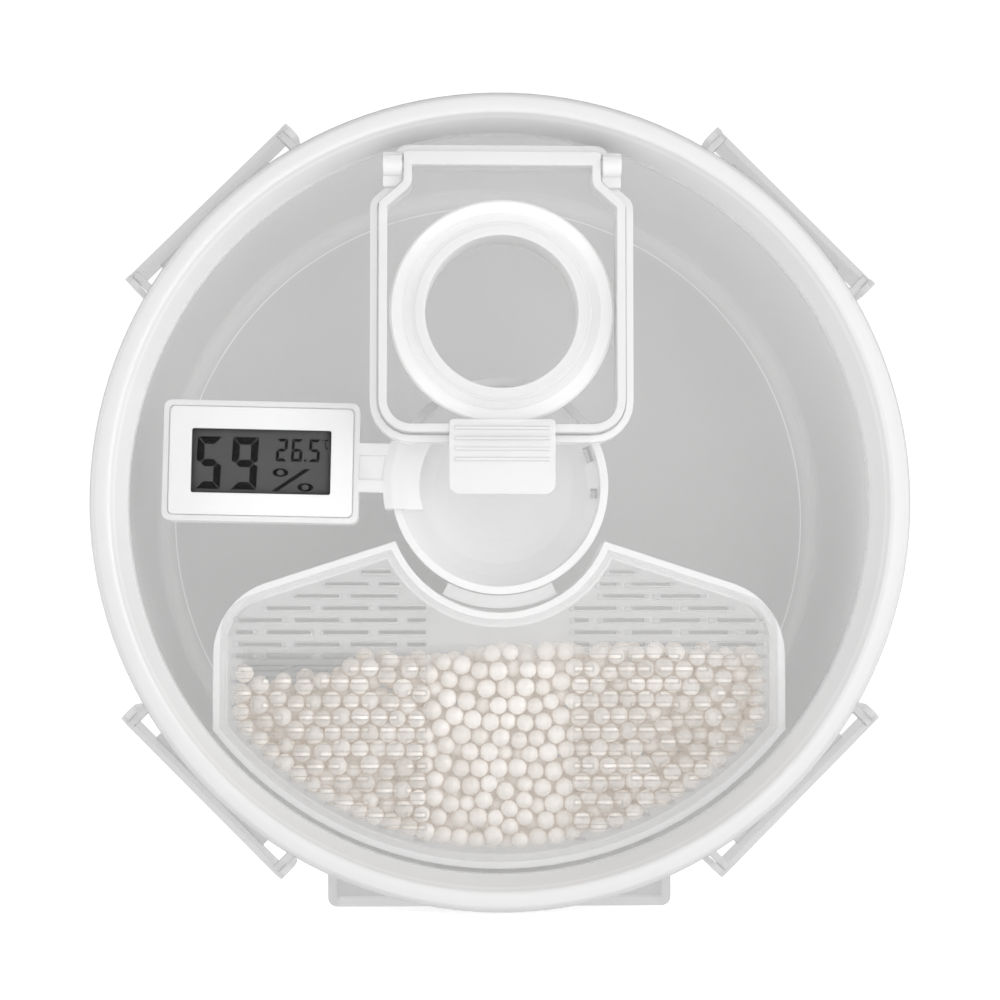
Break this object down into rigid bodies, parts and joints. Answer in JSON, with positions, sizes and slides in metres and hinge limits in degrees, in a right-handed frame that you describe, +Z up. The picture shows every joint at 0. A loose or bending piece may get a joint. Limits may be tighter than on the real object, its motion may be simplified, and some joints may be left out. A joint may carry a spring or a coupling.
{
  "type": "filament dryer box",
  "caption": "Round sealed filament box on a foot: latched lid, flip cap over a round port, hub, hygrometer in a clip-on holder and a slotted desiccant box with beads.",
  "frame": {"origin": "centre of the overall box, on the floor that the foot stands on", "axes": "+Z up, -Y towards the lid's front, +X to the right seen from the front"},
  "size_m": [0.2156, 0.11, 0.2162],
  "materials": {
    "frosted_shell": "translucent polypropylene",
    "frosted_hub": "translucent polypropylene",
    "frosted_lid": "translucent polypropylene",
    "clear_rubber": "silicone",
    "frosted_latch": "translucent polypropylene",
    "white_collar": "satin white",
    "frosted_cap": "translucent polypropylene",
    "frosted_holder": "translucent polypropylene",
    "white_case": "satin white",
    "display_window": "clear",
    "display_panel": "grey liquid crystal",
    "circuit_board": "green laminate",
    "cell_steel": "brushed",
    "contact_brass": "plated",
    "frosted_tray": "translucent polypropylene",
    "bead_fill": "matt off-white beads"
  },
  "bodies": {
    "box": {"container": "frosted_shell", "foot": "frosted_shell", "hub_post": "frosted_hub", "hub_cup": "frosted_hub", "lid": "frosted_lid", "lid_seal": "clear_rubber", "port_collar": "white_collar", "sensor_holder": "frosted_holder", "hygro_front_case": "white_case", "hygro_window": "display_window", "hygro_display": "display_panel", "hygro_board": "circuit_board", "hygro_sensor": "white_case", "hygro_cells": "cell_steel", "hygro_contacts": "contact_brass", "hygro_back_case": "white_case", "hygro_cell_door": "white_case", "desiccant_tray": "frosted_tray", "desiccant_cover": "frosted_tray", "desiccant_beads": "bead_fill"},
    "cap": {"flip_cap": "frosted_cap", "cap_gasket": "clear_rubber"},
    "latch_top_right": {"latch_top_right": "frosted_latch"},
    "latch_top_left": {"latch_top_left": "frosted_latch"},
    "latch_bottom_left": {"latch_bottom_left": "frosted_latch"},
    "latch_bottom_right": {"latch_bottom_right": "frosted_latch"}
  },
  "joints": [
    {"name": "cap_hinge", "type": "hinge", "parent": "box", "child": "cap", "pos_m": [0, -0.0514, 0.197], "axis": [-1, 0, 0], "range_deg": [0, 120]},
    {"name": "latch_top_right_hinge", "type": "hinge", "parent": "box", "child": "latch_top_right", "pos_m": [0.07651, -0.0522, 0.18491], "axis": [0.7071, 0, -0.7071], "range_deg": [0, 110]},
    {"name": "latch_top_left_hinge", "type": "hinge", "parent": "box", "child": "latch_top_left", "pos_m": [-0.07651, -0.0522, 0.18491], "axis": [0.7071, 0, 0.7071], "range_deg": [0, 110]},
    {"name": "latch_bottom_left_hinge", "type": "hinge", "parent": "box", "child": "latch_bottom_left", "pos_m": [-0.07651, -0.0522, 0.03189], "axis": [-0.7071, 0, 0.7071], "range_deg": [0, 110]},
    {"name": "latch_bottom_right_hinge", "type": "hinge", "parent": "box", "child": "latch_bottom_right", "pos_m": [0.07651, -0.0522, 0.03189], "axis": [-0.7071, 0, -0.7071], "range_deg": [0, 110]}
  ]
}
